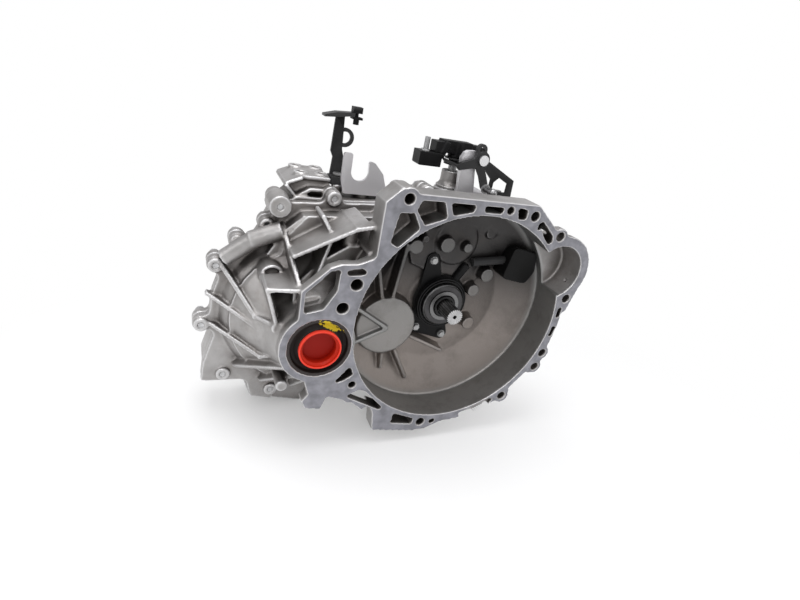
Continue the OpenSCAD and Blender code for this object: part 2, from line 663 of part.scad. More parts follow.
module hub_at(y0, y1) {
    color(dark_steel) difference() {
        slab(y0, y1) translate(output_c) polygon(spline_points(36, hub_r, hub_r + 1.7, 0.9));
        rod(output_c, y0 - 1, y1 + 1, shaft_r);
    }
}
module synchro_hubs() {
    for (m = hub_mid) hub_at(m - 7, m + 7);
    hub_at(rev_hub_y[0], rev_hub_y[1]);
}

// Brass rings between each hub and its gears
module synchro_rings() {
    color(bronze) {
        for (m = hub_mid) {
            ring(output_c, m - 8.4, m - 7, hub_r - 0.6, shaft_r + 2);
            ring(output_c, m + 7, m + 8.4, hub_r - 0.6, shaft_r + 2);
        }
        ring(output_c, rev_hub_y[1], rev_hub_y[1] + 1.4, hub_r - 0.6, shaft_r + 2);
    }
}

module shift_sleeve(y0, y1, groove) {
    mid = (y0 + y1) / 2;
    color(steel) difference() {
        rod(output_c, y0, y1, sleeve_r);
        slab(y0 - 1, y1 + 1) translate(output_c) polygon(spline_points(36, hub_r + 0.3, hub_r + 2.1, 1.08));
        ring(output_c, mid - groove / 2, mid + groove / 2, sleeve_r + 1, groove_r);
    }
}
module sleeve_12() shift_sleeve(hub_mid[0] - 7, hub_mid[0] + 7, 7);
module sleeve_34() shift_sleeve(hub_mid[1] - 7, hub_mid[1] + 7, 7);
module sleeve_56() shift_sleeve(hub_mid[2] - 7, hub_mid[2] + 7, 7);
module sleeve_reverse() shift_sleeve(rev_hub_y[0], rev_hub_y[1], 5);

module shift_fork(mid, width, hub_half) {
    line = bearing_of(output_c, rail_c);
    color(bronze) difference() {
        union() {
            slab(mid - width / 2, mid + width / 2) translate(output_c) rotate(line) difference() {
                union() {
                    intersection() {
                        circle(r = 54);
                        polygon([[-8, -60], [60, -60], [60, 60], [-8, 60]]);
                    }
                    translate([46, -9]) square([40, 18]);
                }
                circle(r = groove_r + 0.4);
            }
            rod(rail_c, mid - hub_half, mid + hub_half, 14);
        }
        rod(rail_c, mid - hub_half - 1, mid + hub_half + 1, rail_r + fit_gap);
    }
}
module fork_12() shift_fork(hub_mid[0], 6, 12);
module fork_34() shift_fork(hub_mid[1], 6, 12);
module fork_56() shift_fork(hub_mid[2], 6, 12);
module fork_reverse() shift_fork((rev_hub_y[0] + rev_hub_y[1]) / 2, 4, 9);

module fork_rail() {
    color(steel) rod(rail_c, chamber_y - 8, 351, rail_r);
}

// A ball bearing drawn as one ring with shields sunk in its faces
module bearing_ring(p, y, outer, inner) {
    step = (outer - inner) / 4;
    color(steel) difference() {
        ring(p, y[0], y[1], outer, inner);
        ring(p, y[0] - 1, y[0] + 1.5, outer - step, inner + step);
        ring(p, y[1] - 1.5, y[1] + 1, outer - step, inner + step);
    }
}
module shaft_bearings() {
    bearing_ring(input_c, front_bearing_y, input_bearing_r, input_r + fit_gap);
    bearing_ring(input_c, rear_bearing_y, rear_bearing_r, input_r + fit_gap);
    bearing_ring(output_c, rear_bearing_y, rear_bearing_r, input_r + fit_gap);
}
module output_front_bearing() bearing_ring(output_c, output_front_y, output_bearing_r, 17 + fit_gap);
module diff_bearings() {
    bearing_ring(diff_c, diff_front_y, diff_bearing_r, 22 + fit_gap);
    bearing_ring(diff_c, diff_rear_y, diff_rear_r, 22 + fit_gap);
}

// ---------- differential ----------
module diff_case() {
    color(cast) difference() {
        turned(diff_c, [[15.1, 14], [22, 14], [22, 40], [47, 43], [47, 84], [70, 88], [70, 97], [50, 97],
                        [50, 120], [26, 136], [22, 137], [22, 158], [15.1, 158]]);
        turned(diff_c, [[0, bevel_y - 32], [30, bevel_y - 32], [36, bevel_y - 20], [36, bevel_y + 20],
                        [30, bevel_y + 32], [0, bevel_y + 32]]);
        // Windows for fitting the gears, and the bore of the cross pin
        translate([diff_c[0], bevel_y, diff_c[1]]) rotate([0, 90, 0]) cylinder(h = 120, r = 20, center = true);
        translate([diff_c[0], bevel_y, diff_c[1]]) cylinder(h = 120, r = 8, center = true);
    }
}

module ring_gear() {
    color(steel) difference() {
        gear(diff_c, ring_teeth, final_m, ring_phase, final_y[0], final_y[1]);
        rod(diff_c, final_y[0] - 1, final_y[1] + 1, 50);
        rod(diff_c, 112, final_y[1] + 1, 78);
    }
}

module cross_pin() {
    color(steel) translate([diff_c[0], bevel_y, diff_c[1] - 46]) cylinder(h = 92, r = 8);
}

// A straight bevel gear about Z with its apex at the origin and its large end at +Z
module bevel_gear(z, mate_z, phase, back, back_r, bore) {
    cone_h = bevel_m * mate_z / 2;
    face = 0.36;
    difference() {
        union() {
            translate([0, 0, cone_h]) mirror([0, 0, 1]) linear_extrude(cone_h * face, scale = 1 - face)
                rotate(phase) polygon(gear_points(z, bevel_m, 0.9, 0.55, 0.95));
            translate([0, 0, cone_h - 0.01]) cylinder(h = back - cone_h, r = back_r);
        }
        cylinder(h = back + 1, r = bore);
    }
}

module side_gear(dir) {
    color(steel) translate([diff_c[0], bevel_y, diff_c[1]]) rotate([dir > 0 ? -90 : 90, 0, 0])
        bevel_gear(side_teeth, spider_teeth, 90, 31.5, 21, 14);
}
module side_gear_front() side_gear(-1);
module side_gear_rear() side_gear(1);

module spider_gear(dir) {
    color(steel) translate([diff_c[0], bevel_y, diff_c[1]]) rotate([dir > 0 ? 0 : 180, 0, 0])
        bevel_gear(spider_teeth, side_teeth, 90 + 180 / spider_teeth, 33, 12.5, 8 + fit_gap);
}
module spider_gear_top() spider_gear(1);
module spider_gear_bottom() spider_gear(-1);

module seal_at(p, y0, dir) {
    color([0.1, 0.07, 0.06]) translate([p[0], y0, p[1]]) rotate([dir > 0 ? -90 : 90, 0, 0]) rotate_extrude()
        polygon([[24, 2], [28, 2], [33, 5.5], [37, 5.5], [38.5, 0.5], [seal_r, 0.5], [seal_r, 10.5], [24, 10.5]]);
}
module diff_seals() {
    seal_at(diff_c, 0.5, 1);
    seal_at(diff_c, 189.5, -1);
}

module transport_cap() {
    color(red) turned(diff_c, [[0, 9.5], [21.5, 9.5], [22.3, 1], [25.4, -1], [25.8, -4], [axle_cap_r, -4],
                               [axle_cap_r, 0.5], [24, 2.2], [24, 12], [0, 12]]);
}

// ---------- clutch release ----------
module slave_cylinder() {
    color(black) difference() {
        union() {
            turned(input_c, [[14, 56], [17, 56], [17, 78], [24, 78], [24, 71], [36, 71], [36, 66], [38, 66],
                             [38, 70], [39.5, 70], [39.5, 67], [41, 67], [41, 72], [42.2, 72], [42.2, 75],
                             [43, 75], [43, 83], [14, 83]]);
            // Fixing plate
            slab(76, 83) difference() {
                offset(r = 10, $fn = 32) polygon(slave_screws);
                circle(r = 30);
            }
            for (s = slave_screws) rod(s, 75, 83, 8);
            // Pipe union at the upper right
            difference() {
                bar([18, 78, 36], [32, 76, 62], 6.8);
                rod(input_c, 60, 84, 30);
                rod([0, 0], 83, 90, 90);
            }
        }
        for (s = slave_screws) rod(s, 74, 84, 3.25);
    }
}

module release_bearing() {
    color(dark_steel) turned(input_c, [[17 + fit_gap, 60], [18.5, 58], [24, 58], [24.5, 60], [release_r - 2, 60],
                                       [release_r, 62], [release_r, 69], [23.5, 69], [23.5, 76],
                                       [17 + fit_gap, 76]]);
}

module clutch_pipe() {
    color(black) bar(pipe_a, pipe_b, 6.5);
}

module pipe_boot() {
    color(black) difference() {
        intersection() {
            slab(50, 83) offset(r = 8, $fn = 32) polygon([[94, 58], [126, 52], [134, 66], [130, 88], [100, 94]]);
            turned(input_c, [[0, 40], [164, 40], [164.5, 57.6], [103.5, 83.4], [0, 83.4]]);
        }
        bar(pipe_a, pipe_b + 0.006 * (pipe_b - pipe_a), 6.5 + 0.02);
        rod([59, 116], 60, 90, 10);
    }
}

// ---------- shift control ----------
module shift_tower() {
    color(cast) difference() {
        union() {
            translate([shift_c[0], shift_c[1], 163]) cylinder(h = 4, r = 20);
            translate([shift_c[0], shift_c[1], 163]) cylinder(h = tower_top - 163, r = 15);
            translate([shift_c[0], shift_c[1], 167]) cylinder(h = 5, r1 = 18, r2 = 15);
            translate([shift_c[0], shift_c[1], 140]) cylinder(h = 24, r = 12);
        }
        translate([shift_c[0], shift_c[1], 130]) cylinder(h = 80, r = shift_r + fit_gap);
    }
}

module shift_shaft() {
    color(dark_steel) translate([shift_c[0], shift_c[1], 76]) cylinder(h = 136, r = shift_r);
}

// Grooved collar that the select lever lifts
module select_collar() {
    color(black) translate([shift_c[0], shift_c[1], shoe_z]) rotate_extrude()
        polygon([[shift_r + fit_gap, 0], [15, 0], [15, 2], [8.5, 2], [8.5, 8], [15, 8], [15, 10],
            [shift_r + fit_gap, 10]]);
}

module shift_lever() {
    color(black) difference() {
        union() {
            translate([shift_c[0], shift_c[1], 208.2]) cylinder(h = 22, r = 11.5);
            // Top arm, its step down and its rounded right end
            translate([-20, 132, 214]) cube([48, 20, 18]);
            translate([20, 134, 216]) cube([24, 16, 14]);
            translate([44, 142, 216]) cylinder(h = 12, r = 8);
            translate([-32, 131, 205]) cube([16, 22, 24]);
            translate([-24, 129, 212]) rotate([0, 20, 0]) cube([8, 26, 20]);
        }
        translate([shift_c[0], shift_c[1], 200]) cylinder(h = 12, r = shift_r);
        translate([-60, 120, 193]) cube([40, 44, 20]);
    }
}

module lever_weight() {
    color(black) difference() {
        translate([-56, 129, 193]) cube([36, 26, 20]);
        translate([-61, 125, 188]) rotate([0, -35, 0]) cube([8, 40, 12]);
        translate([-43, 142, 203]) cylinder(h = 12, r = 4);
    }
}

module lever_stud() {
    color(zinc) {
        translate([-43, 142, 203]) cylinder(h = 29, r = 4);
        translate([-43, 142, 213]) cylinder(h = 2, r = 7);
    }
}

// Upright bracket that carries the pivot of the select lever
module select_bracket() {
    color([0.66, 0.66, 0.68]) difference() {
        union() {
            slab(106, 114) polygon([[-1, 214], [3, 222], [8, 225], [18, 226], [32, 224], [34, 210], [24, 204],
                                    [32, 163], [5, 163]]);
            translate([5, 106, 163]) cube([27, 12, 4]);
            translate([28, 106, 163]) cube([28, 42, 4]);
        }
        rod(pin_at, 100, 120, 5);
        translate([bracket_foot[0], bracket_foot[1], 160]) cylinder(h = 10, r = 3.25);
    }
}

module select_pin() {
    color(zinc) {
        rod(pin_at, select_y[0] - 3, 114, 5);
        rod(pin_at, select_y[0] - 5, select_y[0] - 1, 7.5);
    }
}

module select_lever() {
    color(black) {
        difference() {
            slab(select_y[0], select_y[1]) offset(r = -3, $fn = 32) offset(r = 3, $fn = 32) {
                translate(pin_at) circle(r = 12);
                translate([24, 230]) circle(r = 8);
                polygon([[17, 216], [17, 231], [31, 231], [38, 216]]);
                polygon([[19, 208], [34, 205], [40, 196], [50, 176], [44, 169], [38, 176], [30, 192], [16, 211]]);
                polygon([[30, 222], [-6, 208], [-10, 203], [-6, 198], [30, 206]]);
            }
            rod(pin_at, 90, 110, 5 + fit_gap);
            rod([24, 230], 90, 110, 4);
        }
        rod([-7.6, 203], select_y[0] + 1, 146, 2.3);
    }
}

module ball_stud() {
    color(zinc) {
        rod([44, 176], 78, select_y[0], 4);
        translate([44, 74, 176]) sphere(r = 6);
        rod([44, 176], select_y[0] - 2.5, select_y[0], 7);
    }
}

// Folded plate beside the select lever
module guard_plate() {
    color(black) difference() {
        union() {
            slab(121, 124.5) polygon([[36, 220], [42, 218], [108, 188], [110, 160], [66, 160],
                [66, 186], [50, 200]]);
            translate([53.5, 121, 210.9]) rotate([0, 24.5, 0]) translate([0, 0, -3]) cube([59.6, 16, 3]);
            translate([76, 121, 160]) cube([32, 22, 3.5]);
        }
        translate([plate_foot[0], plate_foot[1], 155]) cylinder(h = 15, r = 3.25);
        slab(119, 126) polygon([[72, 168], [72, 182], [80, 190], [98, 182], [98, 168]]);
    }
}

// Steel bracket with the open slot for the shift cable
module cable_bracket() {
    color([0.6, 0.59, 0.62]) difference() {
        union() {
            slab(136, 140.5) offset(r = 3, $fn = 32) offset(r = -3) difference() {
                polygon([[-160, 140], [-165, 158], [-165, 196], [-152, 196], [-118, 186], [-104, 172], [-92, 140]]);
                translate([-139, 172]) circle(r = 13);
                polygon([[-152, 172], [-152, 200], [-128, 200], [-126, 172]]);
            }
            translate([-156, 136, 140]) cube([60, 28, 4.5]);
        }
        translate([cable_foot[0], cable_foot[1], 130]) cylinder(h = 20, r = 3.25);
    }
}

// Tall strap that carries the wiring clip
module wiring_bracket() {
    color(black) difference() {
        union() {
            translate([-178, 141, 150]) cube([20, 23, 10]);
            slab(160, 164) polygon([[-176, 152], [-174, 184], [-178, 192], [-176, 242], [-164, 244], [-162, 196],
                                    [-159, 186], [-159, 152]]);
            slab(146, 164) polygon([[-195, 237], [-195, 240], [-178, 245], [-154, 247], [-154, 243], [-176, 239]]);
            // Loop on the side of the strap
            slab(160, 164) difference() {
                translate([-160, 212]) circle(r = 13);
                translate([-160, 212]) circle(r = 8);
                translate([-185, 190]) square([20, 44]);
            }
        }
        translate([post_foot[0], post_foot[1], 140]) cylinder(h = 40, r = 3.25);
    }
}

module wiring_clip() {
    color(black) {
        translate([-150, 152, 232]) cylinder(h = 8, r = 4);
        translate([-157, 145, 239]) cube([14, 14, 3]);
        translate([-150, 152, 240]) cylinder(h = 8, r = 2.4);
        translate([-157, 146, 247]) cube([13, 12, 8]);
    }
}

// Small hexagon screws: rear cover, slave cylinder and brackets
module small_bolts() {
    color(zinc) {
        for (s = cover_screws) screw(s, 367, 1, 10, 5, 3, 15);
        for (s = slave_screws) screw(s, 75, -1, 10, 5, 3, 14);
        for (p = [[bracket_foot, bracket_pad_z + 4], [cable_foot, cable_pad_z + 4.5],
                  [plate_foot, plate_pad_z + 3.5], [post_foot, 160]]) {
            translate([p[0][0], p[0][1], p[1]]) cylinder(h = 5, r = 5.6, $fn = 6);
            translate([p[0][0], p[0][1], p[1] - 13]) cylinder(h = 14, r = 3);
        }
    }
}

module oil_plugs() {
    color(dark_steel) {
        translate(fill_at) rotate([0, 90, 0]) translate([0, 0, 11]) cylinder(h = 6, r = 12, $fn = 6);
        translate(fill_at) rotate([0, 90, 0]) translate([0, 0, -9]) cylinder(h = 21, r = 9);
        translate(drain_at) rotate([180, 0, 0]) translate([0, 0, 11]) cylinder(h = 6, r = 12, $fn = 6);
        translate(drain_at) rotate([180, 0, 0]) translate([0, 0, -9]) cylinder(h = 21, r = 9);
    }
}

clutch_housing();
gear_case();
rear_cover();
case_bolts();
small_bolts();
input_shaft();
drive_gear_5();
drive_gear_6();
output_shaft();
driven_gear_1();
driven_gear_2();
driven_gear_3();
driven_gear_4();
driven_gear_5();
driven_gear_6();
reverse_gear();
reverse_idler();
idler_shaft();
synchro_hubs();
synchro_rings();
sleeve_12();
sleeve_34();
sleeve_56();
sleeve_reverse();
fork_12();
fork_34();
fork_56();
fork_reverse();
fork_rail();
shaft_bearings();
output_front_bearing();
diff_bearings();
diff_case();
ring_gear();
cross_pin();
side_gear_front();
side_gear_rear();
spider_gear_top();
spider_gear_bottom();
diff_seals();
transport_cap();
slave_cylinder();
release_bearing();
clutch_pipe();
pipe_boot();
shift_tower();
shift_shaft();
select_collar();
shift_lever();
lever_weight();
lever_stud();
select_bracket();
select_pin();
select_lever();
ball_stud();
guard_plate();
cable_bracket();
wiring_bracket();
wiring_clip();
oil_plugs();
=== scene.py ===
"""Looks for the transverse manual transaxle: smooth castings, finishes, light and camera."""

import json
import math

import bpy
from mathutils import Matrix, Vector


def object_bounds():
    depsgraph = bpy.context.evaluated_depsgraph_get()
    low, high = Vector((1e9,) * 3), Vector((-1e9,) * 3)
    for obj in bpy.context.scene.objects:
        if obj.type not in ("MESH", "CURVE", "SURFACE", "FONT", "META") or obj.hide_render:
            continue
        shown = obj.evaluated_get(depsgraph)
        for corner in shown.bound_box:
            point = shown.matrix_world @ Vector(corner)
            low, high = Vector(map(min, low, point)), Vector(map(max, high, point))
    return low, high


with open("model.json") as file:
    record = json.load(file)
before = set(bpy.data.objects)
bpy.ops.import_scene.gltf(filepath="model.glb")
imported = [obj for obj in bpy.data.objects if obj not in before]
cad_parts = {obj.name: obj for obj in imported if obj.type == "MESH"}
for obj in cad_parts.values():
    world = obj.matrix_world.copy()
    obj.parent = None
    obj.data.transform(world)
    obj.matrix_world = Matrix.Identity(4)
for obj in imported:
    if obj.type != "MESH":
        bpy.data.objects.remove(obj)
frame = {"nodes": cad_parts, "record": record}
CAD_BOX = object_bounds()
NODES = frame["nodes"]
MM = 0.001

# Planes and radii of the object. The y axis runs from the bell mouth to the back
MOUTH_FACE = 0.0
CASE_JOINT = 120 * MM
BACK_FACE = 367 * MM
BELL_RADIUS = 167 * MM
BELL_WALL_END = 59 * MM
BELL_DEPTH = 93 * MM

# Yellow paint streak on the front axle seal
SMEAR_X = -191.5 * MM
SMEAR_Z = -1 * MM
SMEAR_SIZE = 11 * MM
SMEAR_COLOUR = (0.62, 0.46, 0.02)


# ---------- node helpers ----------
def new_material(name):
    """A node material with its Principled shader and object-space coordinates."""
    mat = bpy.data.materials.new(name)
    mat.use_nodes = True
    tree = mat.node_tree
    tree.nodes.clear()
    out = tree.nodes.new("ShaderNodeOutputMaterial")
    shader = tree.nodes.new("ShaderNodeBsdfPrincipled")
    coord = tree.nodes.new("ShaderNodeTexCoord")
    tree.links.new(shader.outputs[0], out.inputs[0])
    return mat, tree, shader, coord.outputs["Object"]


def math_node(tree, op, a, b=None):
    """One arithmetic step on sockets or numbers."""
    node = tree.nodes.new("ShaderNodeMath")
    node.operation = op
    for i, value in enumerate((a, b)):
        if value is None:
            continue
        if hasattr(value, "links"):
            tree.links.new(value, node.inputs[i])
        else:
            node.inputs[i].default_value = value
    return node.outputs[0]


def product(tree, a, b):
    return math_node(tree, "MULTIPLY", a, b)


def total(tree, a, b):
    return math_node(tree, "ADD", a, b)


def difference(tree, a, b):
    return math_node(tree, "SUBTRACT", a, b)


def magnitude(tree, a):
    return math_node(tree, "ABSOLUTE", a)


def hypotenuse(tree, a, b):
    squares = [math_node(tree, "POWER", side, 2.0) for side in (a, b)]
    return math_node(tree, "SQRT", total(tree, *squares))


def noise(tree, vector, scale, detail=4.0, rough=0.55):
    node = tree.nodes.new("ShaderNodeTexNoise")
    node.inputs["Scale"].default_value = scale
    node.inputs["Detail"].default_value = detail
    node.inputs["Roughness"].default_value = rough
    tree.links.new(vector, node.inputs["Vector"])
    return node.outputs["Fac"]


def ramp(tree, value, low, high, to_low=0.0, to_high=1.0):
    """Maps value from low..high to to_low..to_high, held at the ends."""
    node = tree.nodes.new("ShaderNodeMapRange")
    node.inputs["From Min"].default_value = low
    node.inputs["From Max"].default_value = high
    node.inputs["To Min"].default_value = to_low
    node.inputs["To Max"].default_value = to_high
    tree.links.new(value, node.inputs["Value"])
    return node.outputs[0]


def mix(tree, factor, a, b):
    """Mixes two colours; each is a socket or an RGB triple."""
    node = tree.nodes.new("ShaderNodeMix")
    node.data_type = "RGBA"
    if hasattr(factor, "links"):
        tree.links.new(factor, node.inputs[0])
    else:
        node.inputs[0].default_value = factor
    for socket, value in ((node.inputs[6], a), (node.inputs[7], b)):
        if hasattr(value, "links"):
            tree.links.new(value, socket)
        else:
            socket.default_value = (*value, 1.0)
    return node.outputs[2]


def bump(tree, height, strength, distance, below=None):
    """Relief from a height, laid over the normal below it."""
    node = tree.nodes.new("ShaderNodeBump")
    node.inputs["Strength"].default_value = strength
    node.inputs["Distance"].default_value = distance
    tree.links.new(height, node.inputs["Height"])
    if below is not None:
        tree.links.new(below, node.inputs["Normal"])
    return node.outputs[0]


def hollow(tree, distance):
    """1 in the open and towards 0 in corners and pockets."""
    node = tree.nodes.new("ShaderNodeAmbientOcclusion")
    node.samples = 6
    node.inputs["Distance"].default_value = distance
    return node.outputs["AO"]


def convex_edges(tree, low=0.52, high=0.6):
    """1 on convex edges."""
    geometry = tree.nodes.new("ShaderNodeNewGeometry")
    return ramp(tree, geometry.outputs["Pointiness"], low, high)


def split(tree, vector):
    node = tree.nodes.new("ShaderNodeSeparateXYZ")
    tree.links.new(vector, node.inputs[0])
    return node.outputs


def set_input(tree, shader, name, value):
    if hasattr(value, "links"):
        tree.links.new(value, shader.inputs[name])
    else:
        shader.inputs[name].default_value = value


# ---------- materials ----------
def bell_painted_shade(tree, xyz, stain):
    """Share and colour of the painted shade inside the bell: a plain darkened wall, and a floor whose painted
    shade deepens upwards.
    """
    radius = hypotenuse(tree, xyz[0], xyz[2])
    within = ramp(tree, radius, BELL_RADIUS + 0.5 * MM, BELL_RADIUS - 0.5 * MM)
    within = product(tree, within, ramp(tree, xyz[1], 1 * MM, 3 * MM))
    within = product(tree, within, ramp(tree, xyz[1], BELL_DEPTH + 1 * MM, BELL_DEPTH - 1 * MM))
    # Painted shade on the floor: darker towards the top.
    shade = mix(tree, ramp(tree, xyz[2], -60 * MM, 60 * MM), (0.29, 0.255, 0.233), (0.026, 0.0245, 0.0245))
    # Painted shade on the wall: one even darkened tone up to BELL_WALL_END.
    past_wall = ramp(tree, xyz[1], BELL_WALL_END - 3 * MM, BELL_WALL_END + 3 * MM)
    shade = mix(tree, past_wall, (0.28, 0.28, 0.275), shade)
    shade = mix(tree, ramp(tree, stain, 0.48, 0.74, 0.0, 0.4), shade, (0.075, 0.066, 0.06))
    # Painted highlight: the convex edges inside the bell are lightened.
    shade = mix(tree, convex_edges(tree, 0.53, 0.66), shade, (0.42, 0.41, 0.40))
    return product(tree, within, 0.92), shade


def cast_aluminium(name, cut_plane, bell=False):
    """Blasted cast aluminium, machined at y = cut_plane, with a dark line where the casings meet."""
    mat, tree, shader, at = new_material(name)
    xyz = split(tree, at)
    geometry = tree.nodes.new("ShaderNodeNewGeometry")
    facing_y = magnitude(tree, split(tree, geometry.outputs["Normal"])[1])
    broad = noise(tree, at, 14.0, 5.0, 0.6)
    grain = noise(tree, at, 900.0, 3.0, 0.7)
    pits = noise(tree, at, 260.0, 4.0, 0.65)
    stain = noise(tree, at, 26.0, 6.0, 0.65)
    swirl = noise(tree, at, 60.0, 2.0)
    open_air = hollow(tree, 30 * MM)

    colour = mix(tree, ramp(tree, broad, 0.35, 0.68), (0.31, 0.30, 0.295), (0.49, 0.48, 0.477))
    colour = mix(tree, ramp(tree, stain, 0.50, 0.74, 0.0, 0.5), colour, (0.22, 0.195, 0.175))
    # Painted shade: the colour darkens in corners and pockets, following the occlusion mask.
    colour = mix(tree, ramp(tree, open_air, 0.55, 0.97, 0.6, 0.0), colour, (0.14, 0.12, 0.108))
    colour = mix(tree, ramp(tree, open_air, 0.15, 0.66, 1.0, 0.0), colour, (0.035, 0.03, 0.027))
    # Painted highlight: the convex edges are lightened.
    colour = mix(tree, convex_edges(tree, 0.51, 0.57), colour, (0.80, 0.80, 0.81))
    # Painted shade: inside the bell most of the colour is replaced by the painted bell shade.
    if bell:
        amount, shade = bell_painted_shade(tree, xyz, stain)
        colour = mix(tree, amount, colour, shade)

    off_face = magnitude(tree, difference(tree, xyz[1], cut_plane))
    cut = product(tree, ramp(tree, off_face, 0.5 * MM, 0.9 * MM, 1.0, 0.0), ramp(tree, facing_y, 0.9, 0.98))
    cut_colour = mix(tree, ramp(tree, swirl, 0.35, 0.65), (0.205, 0.205, 0.225), (0.30, 0.30, 0.33))
    colour = mix(tree, cut, colour, cut_colour)

    off_joint = magnitude(tree, difference(tree, xyz[1], CASE_JOINT))
    line = product(tree, ramp(tree, off_joint, 0.6 * MM, 1.0 * MM, 1.0, 0.0), ramp(tree, facing_y, 0.8, 0.6))
    colour = mix(tree, line, colour, (0.02, 0.02, 0.022))

    relief = bump(tree, grain, 0.22, 0.6 * MM)
    set_input(tree, shader, "Base Color", colour)
    set_input(tree, shader, "Metallic", 0.82)
    set_input(tree, shader, "Roughness", ramp(tree, grain, 0.3, 0.7, 0.36, 0.52))
    set_input(tree, shader, "Normal", bump(tree, pits, 0.25, 1.2 * MM, relief))
    return mat


def plain_metal(name, colour, edge_colour, roughness, metallic=1.0):
    """Steel or plated parts: slight stain, painted shade in corners, bright edges."""
    mat, tree, shader, at = new_material(name)
    stain = noise(tree, at, 70.0, 5.0, 0.6)
    fine = noise(tree, at, 1400.0, 2.0)
    # Painted shade: the tone darkens in corners, following the occlusion mask.
    corners = ramp(tree, hollow(tree, 12 * MM), 0.2, 0.8, 0.75, 0.0)
    tone = mix(tree, ramp(tree, stain, 0.35, 0.7), colour, tuple(0.72 * c for c in colour))
    tone = mix(tree, corners, tone, tuple(0.2 * c for c in colour))
    tone = mix(tree, convex_edges(tree), tone, edge_colour)
    set_input(tree, shader, "Base Color", tone)
    set_input(tree, shader, "Metallic", metallic)
    set_input(tree, shader, "Roughness", ramp(tree, fine, 0.3, 0.7, roughness - 0.07, roughness + 0.09))
    set_input(tree, shader, "Normal", bump(tree, fine, 0.12, 0.3 * MM))
    return mat


def paint_smear(tree, at):
    """1 where the yellow paint lies: a ragged streak, turned and drawn out along the seal's lip."""
    xyz = split(tree, at)
    dx = difference(tree, xyz[0], SMEAR_X)
    dz = difference(tree, xyz[2], SMEAR_Z)
    along = product(tree, difference(tree, product(tree, dx, 0.9), product(tree, dz, 0.44)), 0.5)
    across = product(tree, total(tree, product(tree, dx, 0.44), product(tree, dz, 0.9)), 1.5)
    ragged = ramp(tree, noise(tree, at, 190.0), 0.3, 0.7, 0.0, 0.8 * SMEAR_SIZE)
    away = total(tree, hypotenuse(tree, along, across), ragged)
    spot = ramp(tree, away, 0.95 * SMEAR_SIZE, 1.1 * SMEAR_SIZE, 1.0, 0.0)
    front_only = ramp(tree, xyz[1], 10 * MM, 12 * MM, 1.0, 0.0)
    return product(tree, spot, front_only)


def moulded(name, colour, roughness, grain_scale=700.0, dust=(0.022, 0.021, 0.02), smeared=False, cup_shade=None):
    """Plastic, rubber or paint: soft grain, slightly dusty flats, lighter edges.

    The last argument gives the painted shade at the bottom of a cup: its colour, with the y where it starts
    and the y where it is full.
    """
    mat, tree, shader, at = new_material(name)
    grain = noise(tree, at, grain_scale, 3.0, 0.6)
    broad = noise(tree, at, 40.0, 4.0, 0.6)
    tone = mix(tree, ramp(tree, broad, 0.4, 0.75, 0.0, 0.25), colour, dust)
    tone = mix(tree, convex_edges(tree, 0.53, 0.62), tone, tuple(min(1.0, 1.6 * c + 0.03) for c in colour))
    # Painted shade: darker towards the bottom of a cup.
    if cup_shade is not None:
        dark, start, end = cup_shade
        tone = mix(tree, ramp(tree, split(tree, at)[1], start, end), tone, dark)
    if smeared:
        tone = mix(tree, paint_smear(tree, at), tone, SMEAR_COLOUR)
    set_input(tree, shader, "Base Color", tone)
    set_input(tree, shader, "Roughness", ramp(tree, broad, 0.3, 0.7, roughness - 0.08, roughness + 0.1))
    set_input(tree, shader, "Specular IOR Level", 0.15)
    set_input(tree, shader, "Normal", bump(tree, grain, 0.18, 0.5 * MM))
    return mat


CAST_BELL = cast_aluminium("cast_bell", MOUTH_FACE, bell=True)
CAST_CASE = cast_aluminium("cast_case", BACK_FACE)
ZINC = plain_metal("zinc_steel", (0.36, 0.36, 0.365), (0.8, 0.8, 0.81), 0.36)
GEAR = plain_metal("gear_steel", (0.27, 0.265, 0.26), (0.7, 0.7, 0.71), 0.34)
DULL = plain_metal("dull_screw", (0.14, 0.137, 0.137), (0.4, 0.4, 0.4), 0.45)
DARK = plain_metal("dark_steel", (0.085, 0.083, 0.085), (0.3, 0.3, 0.3), 0.4)
BRONZE = plain_metal("bronze", (0.55, 0.38, 0.17), (0.8, 0.62, 0.35), 0.35)
BRACKET = plain_metal("bracket_steel", (0.36, 0.345, 0.36), (0.74, 0.73, 0.75), 0.42, metallic=0.8)
SEAL = moulded("seal_rubber", (0.012, 0.008, 0.007), 0.5, smeared=True)
BOOT = moulded("boot_rubber", (0.004, 0.004, 0.004), 0.35, dust=(0.008, 0.008, 0.008))
# Painted shade darkens the cap's inside towards its bottom.
RED = moulded("red_plastic", (0.52, 0.020, 0.005), 0.42, dust=(0.46, 0.03, 0.01),
              cup_shade=((0.25, 0.006, 0.002), -3 * MM, 10 * MM))
BLACK = moulded("black_plastic", (0.004, 0.004, 0.0045), 0.42)
PAINT = moulded("black_paint", (0.005, 0.005, 0.0055), 0.36, 300.0)

SLOT_LOOK = {
    "cast_aluminium": CAST_CASE, "zinc_steel": ZINC, "gear_steel": GEAR, "dark_steel": DARK,
    "bracket_steel": BRACKET, "bronze": BRONZE, "seal_rubber": SEAL, "red_plastic": RED,
    "black_plastic": BLACK, "black_paint": PAINT,
}
OWN_LOOK = {"clutch_housing": CAST_BELL, "pipe_boot": BOOT, "small_bolts": DULL}
SLOT_OF = {s["node"]: s["material_slot"] for s in frame["record"]["subparts"]}
for name, obj in NODES.items():
    look = OWN_LOOK.get(name) or SLOT_LOOK[SLOT_OF[name]]
    obj.data.materials.clear()
    obj.data.materials.append(look)


# ---------- smooth castings ----------
def soften(obj, voxel, passes):
    """Rounds a casting's edges and corners with a voxel remesh and smoothing passes."""
    remesh = obj.modifiers.new("skin", "REMESH")
    remesh.mode = "VOXEL"
    remesh.voxel_size = voxel
    remesh.use_smooth_shade = True
    smooth = obj.modifiers.new("fillets", "SMOOTH")
    smooth.factor = 0.5
    smooth.iterations = passes


